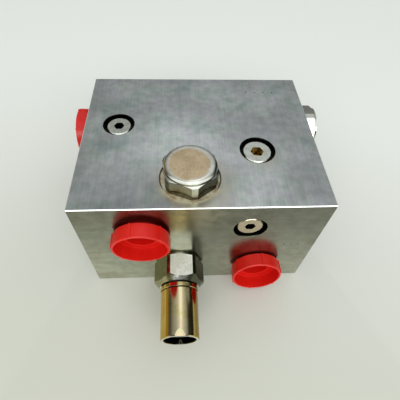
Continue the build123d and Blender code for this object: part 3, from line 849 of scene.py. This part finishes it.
# ---------------------------------------------------------------- stage and light
def make_floor():
    """A wide plain pale table top, painted darker towards the front and the left as painted
    shade.
    """
    reach = 6.0
    mesh = bpy.data.meshes.new("floor")
    corners = [(-reach, -reach, 0), (reach, -reach, 0), (reach, reach, 0), (-reach, reach, 0)]
    mesh.from_pydata(corners, [], [(0, 1, 2, 3)])
    floor = bpy.data.objects.new("floor", mesh)
    bpy.context.scene.collection.objects.link(floor)
    finish = Finish("pale_table")
    place = finish.split(finish.place)
    # painted shade: darker to the front and left, brighter to the back and right, for the
    # fall of the light
    slope = finish.plus(place["Y"], finish.times(place["X"], 0.25))
    cloud = finish.times(finish.noise(150 * MM, detail=2), 0.06)
    finish.set(
        "Base Color",
        finish.ramp(
            finish.span(finish.plus(slope, cloud), -0.16, 0.20),
            (0.0, (0.62, 0.64, 0.555)),
            (0.5, (0.72, 0.74, 0.695)),
            (1.0, (0.82, 0.85, 0.82)),
        ),
    )
    finish.set("Roughness", 0.6)
    mesh.materials.append(finish.material)


def area_light(name, at, toward, size, radiance, colour=(1, 1, 1)):
    """A rectangular soft light of the given radiance, facing a point."""
    data = bpy.data.lights.new(name, "AREA")
    data.shape = "RECTANGLE"
    data.size, data.size_y = size
    data.energy = radiance * math.pi * size[0] * size[1]
    data.color = colour
    light = bpy.data.objects.new(name, data)
    light.location = at
    light.rotation_euler = (Vector(toward) - Vector(at)).to_track_quat("-Z", "Y").to_euler()
    bpy.context.scene.collection.objects.link(light)


def make_world():
    """A room: dark at the horizon, lighter overhead and to the back, bright in front."""
    world = bpy.data.worlds.new("room")
    bpy.context.scene.world = world
    world.use_nodes = True
    sky = Nodes(world.node_tree)
    heading = sky.add("ShaderNodeTexCoord").outputs["Generated"]
    direction = sky.split(heading)
    sideways = sky.times(sky.math("MINIMUM", direction["X"], 0.0), 0.5)
    backward = sky.times(direction["Y"], 0.35)
    height = sky.plus(sky.plus(direction["Z"], backward), sideways)
    room = sky.ramp(
        height,
        (0.25, (0.06, 0.06, 0.05)),
        (0.83, (0.38, 0.40, 0.38)),
        (0.93, (0.50, 0.52, 0.51)),
        (1.00, (0.70, 0.72, 0.70)),
    )
    mirrored = sky.shade(room, sky.span(direction["X"], -1.0, 0.3, 1.35, 1.05))
    # brown wood low on the left, a dark doorway on the right
    low_wall = sky.span(direction["Z"], 0.15, 0.45, 1.0, 0.0)
    left_wall = sky.times(low_wall, sky.span(direction["X"], -0.85, -0.45, 1.0, 0.0))
    high_wall = sky.span(direction["Z"], 0.50, 0.80, 1.0, 0.0)
    right_wall = sky.times(high_wall, sky.span(direction["X"], 0.45, 0.70))
    mirrored = sky.mix(left_wall, mirrored, (0.42, 0.27, 0.04, 1))
    mirrored = sky.mix(right_wall, mirrored, (0.02, 0.02, 0.015, 1))
    # a bright wall and ceiling in front and overhead, and a lamp behind the block
    ahead = sky.span(direction["Y"], -0.15, 0.20, 1.0, 0.0)
    front_glow = sky.times(ahead, sky.span(direction["Z"], 0.32, 0.50, 0.0, 1.0))
    lamp = sky.span(sky.dot(heading, (0.13, 0.38, 0.915)), 0.980, 0.992, 0.0, 0.5)
    mirrored = sky.mix(1.0, mirrored, sky.shade((0.90, 0.93, 0.90, 1), front_glow), "ADD")
    mirrored = sky.mix(1.0, mirrored, sky.shade((1.0, 1.0, 0.97, 1), lamp), "ADD")
    paths = sky.add("ShaderNodeLightPath").outputs
    colour = sky.mix(paths["Is Diffuse Ray"], mirrored, (0.74, 0.75, 0.73, 1))
    colour = sky.mix(paths["Is Camera Ray"], colour, (0.72, 0.74, 0.71, 1))
    background = sky.add("ShaderNodeBackground")
    sky.put(background.inputs["Color"], colour)
    output = sky.add("ShaderNodeOutputWorld")
    sky.put(output.inputs["Surface"], background.outputs["Background"])


def make_camera():
    """The camera stands over the front edge of the block and looks steeply down."""
    low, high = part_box("manifold_block")
    base = Vector(((low.x + high.x) / 2, (low.y + high.y) / 2, low.z))
    stand = Vector((-11.03, -136.79, 199.79)) * MM
    yaw, pitch, roll = (math.radians(angle) for angle in (-5.65, -53.53, 3.64))
    data = bpy.data.cameras.new("camera")
    data.sensor_width = 36.0
    data.lens = 29.47
    camera = bpy.data.objects.new("camera", data)
    aim = (
        Matrix.Rotation(yaw, 4, "Z")
        @ Matrix.Rotation(math.pi / 2 + pitch, 4, "X")
        @ Matrix.Rotation(roll, 4, "Z")
    )
    camera.matrix_world = Matrix.Translation(base + stand) @ aim
    bpy.context.scene.collection.objects.link(camera)
    bpy.context.scene.camera = camera


make_floor()
make_world()
make_camera()
area_light("window", (0.05, -1.60, 1.12), (0.0, 0.0, 0.05), (2.6, 0.60), 4.0)
bpy.context.scene.view_settings.view_transform = "Standard"
